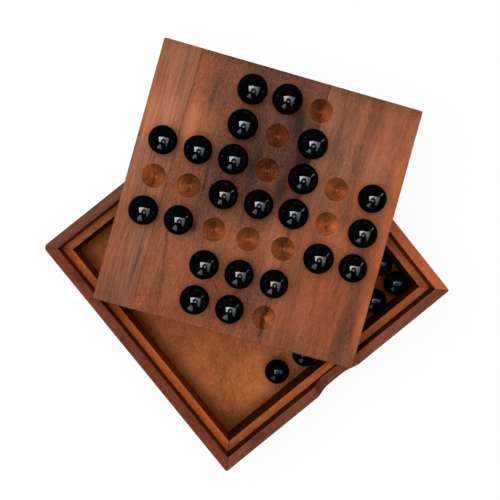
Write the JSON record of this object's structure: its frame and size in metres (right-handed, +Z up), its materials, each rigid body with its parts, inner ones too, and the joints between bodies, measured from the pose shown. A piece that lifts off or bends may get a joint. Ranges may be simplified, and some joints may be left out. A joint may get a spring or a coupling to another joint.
{
  "type": "marble solitaire board",
  "caption": "Square wooden solitaire board with conical dimples, lying askew on its open mitred tray box, with loose black glass marbles on it and in the tray.",
  "frame": {"origin": "centre of the tray box's underside", "axes": "+Z up, -Y through the finger notch in the front wall, +X towards the right wall"},
  "size_m": [0.2144, 0.2125, 0.0638],
  "materials": {
    "outer_wood": "oiled reddish hardwood, satin",
    "ledge_wood": "oiled orange hardwood, satin",
    "floor_wood": "stained thin panel, matt",
    "board_wood": "oiled hardwood with dark streaks, satin",
    "black_glass": "polished opaque black glass"
  },
  "bodies": {
    "tray_box": {"front_wall": "outer_wood", "right_wall": "outer_wood", "back_wall": "outer_wood", "left_wall": "outer_wood", "front_ledge": "ledge_wood", "right_ledge": "ledge_wood", "back_ledge": "ledge_wood", "left_ledge": "ledge_wood", "base_panel": "floor_wood"},
    "board": {"board_left_stave": "board_wood", "board_middle_stave": "board_wood", "board_right_stave": "board_wood"},
    "tray_marble_1": {"tray_marble_1": "black_glass"},
    "tray_marble_2": {"tray_marble_2": "black_glass"},
    "tray_marble_3": {"tray_marble_3": "black_glass"},
    "tray_marble_4": {"tray_marble_4": "black_glass"},
    "tray_marble_5": {"tray_marble_5": "black_glass"},
    "tray_marble_6": {"tray_marble_6": "black_glass"},
    "tray_marble_7": {"tray_marble_7": "black_glass"},
    "tray_marble_8": {"tray_marble_8": "black_glass"},
    "tray_marble_9": {"tray_marble_9": "black_glass"},
    "tray_marble_10": {"tray_marble_10": "black_glass"},
    "tray_marble_11": {"tray_marble_11": "black_glass"},
    "marble_row1_col3": {"marble_row1_col3": "black_glass"},
    "marble_row1_col4": {"marble_row1_col4": "black_glass"},
    "marble_row2_col3": {"marble_row2_col3": "black_glass"},
    "marble_row2_col5": {"marble_row2_col5": "black_glass"},
    "marble_row3_col1": {"marble_row3_col1": "black_glass"},
    "marble_row3_col2": {"marble_row3_col2": "black_glass"},
    "marble_row3_col3": {"marble_row3_col3": "black_glass"},
    "marble_row3_col5": {"marble_row3_col5": "black_glass"},
    "marble_row3_col7": {"marble_row3_col7": "black_glass"},
    "marble_row4_col3": {"marble_row4_col3": "black_glass"},
    "marble_row4_col4": {"marble_row4_col4": "black_glass"},
    "marble_row4_col5": {"marble_row4_col5": "black_glass"},
    "marble_row4_col7": {"marble_row4_col7": "black_glass"},
    "marble_row5_col1": {"marble_row5_col1": "black_glass"},
    "marble_row5_col2": {"marble_row5_col2": "black_glass"},
    "marble_row5_col6": {"marble_row5_col6": "black_glass"},
    "marble_row5_col7": {"marble_row5_col7": "black_glass"},
    "marble_row6_col3": {"marble_row6_col3": "black_glass"},
    "marble_row6_col4": {"marble_row6_col4": "black_glass"},
    "marble_row6_col5": {"marble_row6_col5": "black_glass"},
    "marble_row7_col3": {"marble_row7_col3": "black_glass"},
    "marble_row7_col4": {"marble_row7_col4": "black_glass"}
  },
  "joints": [
    {"name": "board_lift", "type": "slide", "parent": "tray_box", "child": "board", "axis": [0, 0, 1], "range_m": [0, 0.06]},
    {"name": "tray_marble_1_lift", "type": "slide", "parent": "tray_box", "child": "tray_marble_1", "axis": [0, 0, 1], "range_m": [0, 0.05]},
    {"name": "tray_marble_2_roll", "type": "slide", "parent": "tray_box", "child": "tray_marble_2", "axis": [1, 0, 0], "range_m": [-0.004, 0.036]},
    {"name": "tray_marble_3_lift", "type": "slide", "parent": "tray_box", "child": "tray_marble_3", "axis": [0, 0, 1], "range_m": [0, 0.05]},
    {"name": "tray_marble_4_lift", "type": "slide", "parent": "tray_box", "child": "tray_marble_4", "axis": [0, 0, 1], "range_m": [0, 0.05]},
    {"name": "tray_marble_5_lift", "type": "slide", "parent": "tray_box", "child": "tray_marble_5", "axis": [0, 0, 1], "range_m": [0, 0.05]},
    {"name": "tray_marble_6_roll", "type": "slide", "parent": "tray_box", "child": "tray_marble_6", "axis": [0, 1, 0], "range_m": [-0.012, 0.04]},
    {"name": "tray_marble_7_roll", "type": "slide", "parent": "tray_box", "child": "tray_marble_7", "axis": [0, -1, 0], "range_m": [0, 0.028]},
    {"name": "tray_marble_8_roll", "type": "slide", "parent": "tray_box", "child": "tray_marble_8", "axis": [-1, 0, 0], "range_m": [-0.015, 0.025]},
    {"name": "tray_marble_9_roll", "type": "slide", "parent": "tray_box", "child": "tray_marble_9", "axis": [-1, 0, 0], "range_m": [0, 0.03]},
    {"name": "tray_marble_10_roll", "type": "slide", "parent": "tray_box", "child": "tray_marble_10", "axis": [0, 1, 0], "range_m": [-0.018, 0.025]},
    {"name": "tray_marble_11_roll", "type": "slide", "parent": "tray_box", "child": "tray_marble_11", "axis": [1, 0, 0], "range_m": [0, 0.025]},
    {"name": "marble_row1_col3_lift", "type": "slide", "parent": "board", "child": "marble_row1_col3", "axis": [0, 0, 1], "range_m": [0, 0.03]},
    {"name": "marble_row1_col4_lift", "type": "slide", "parent": "board", "child": "marble_row1_col4", "axis": [0, 0, 1], "range_m": [0, 0.03]},
    {"name": "marble_row2_col3_lift", "type": "slide", "parent": "board", "child": "marble_row2_col3", "axis": [0, 0, 1], "range_m": [0, 0.03]},
    {"name": "marble_row2_col5_lift", "type": "slide", "parent": "board", "child": "marble_row2_col5", "axis": [0, 0, 1], "range_m": [0, 0.03]},
    {"name": "marble_row3_col1_lift", "type": "slide", "parent": "board", "child": "marble_row3_col1", "axis": [0, 0, 1], "range_m": [0, 0.03]},
    {"name": "marble_row3_col2_lift", "type": "slide", "parent": "board", "child": "marble_row3_col2", "axis": [0, 0, 1], "range_m": [0, 0.03]},
    {"name": "marble_row3_col3_lift", "type": "slide", "parent": "board", "child": "marble_row3_col3", "axis": [0, 0, 1], "range_m": [0, 0.03]},
    {"name": "marble_row3_col5_lift", "type": "slide", "parent": "board", "child": "marble_row3_col5", "axis": [0, 0, 1], "range_m": [0, 0.03]},
    {"name": "marble_row3_col7_lift", "type": "slide", "parent": "board", "child": "marble_row3_col7", "axis": [0, 0, 1], "range_m": [0, 0.03]},
    {"name": "marble_row4_col3_lift", "type": "slide", "parent": "board", "child": "marble_row4_col3", "axis": [0, 0, 1], "range_m": [0, 0.03]},
    {"name": "marble_row4_col4_lift", "type": "slide", "parent": "board", "child": "marble_row4_col4", "axis": [0, 0, 1], "range_m": [0, 0.03]},
    {"name": "marble_row4_col5_lift", "type": "slide", "parent": "board", "child": "marble_row4_col5", "axis": [0, 0, 1], "range_m": [0, 0.03]},
    {"name": "marble_row4_col7_lift", "type": "slide", "parent": "board", "child": "marble_row4_col7", "axis": [0, 0, 1], "range_m": [0, 0.03]},
    {"name": "marble_row5_col1_lift", "type": "slide", "parent": "board", "child": "marble_row5_col1", "axis": [0, 0, 1], "range_m": [0, 0.03]},
    {"name": "marble_row5_col2_lift", "type": "slide", "parent": "board", "child": "marble_row5_col2", "axis": [0, 0, 1], "range_m": [0, 0.03]},
    {"name": "marble_row5_col6_lift", "type": "slide", "parent": "board", "child": "marble_row5_col6", "axis": [0, 0, 1], "range_m": [0, 0.03]},
    {"name": "marble_row5_col7_lift", "type": "slide", "parent": "board", "child": "marble_row5_col7", "axis": [0, 0, 1], "range_m": [0, 0.03]},
    {"name": "marble_row6_col3_lift", "type": "slide", "parent": "board", "child": "marble_row6_col3", "axis": [0, 0, 1], "range_m": [0, 0.03]},
    {"name": "marble_row6_col4_lift", "type": "slide", "parent": "board", "child": "marble_row6_col4", "axis": [0, 0, 1], "range_m": [0, 0.03]},
    {"name": "marble_row6_col5_lift", "type": "slide", "parent": "board", "child": "marble_row6_col5", "axis": [0, 0, 1], "range_m": [0, 0.03]},
    {"name": "marble_row7_col3_lift", "type": "slide", "parent": "board", "child": "marble_row7_col3", "axis": [0, 0, 1], "range_m": [0, 0.03]},
    {"name": "marble_row7_col4_lift", "type": "slide", "parent": "board", "child": "marble_row7_col4", "axis": [0, 0, 1], "range_m": [0, 0.03]}
  ]
}
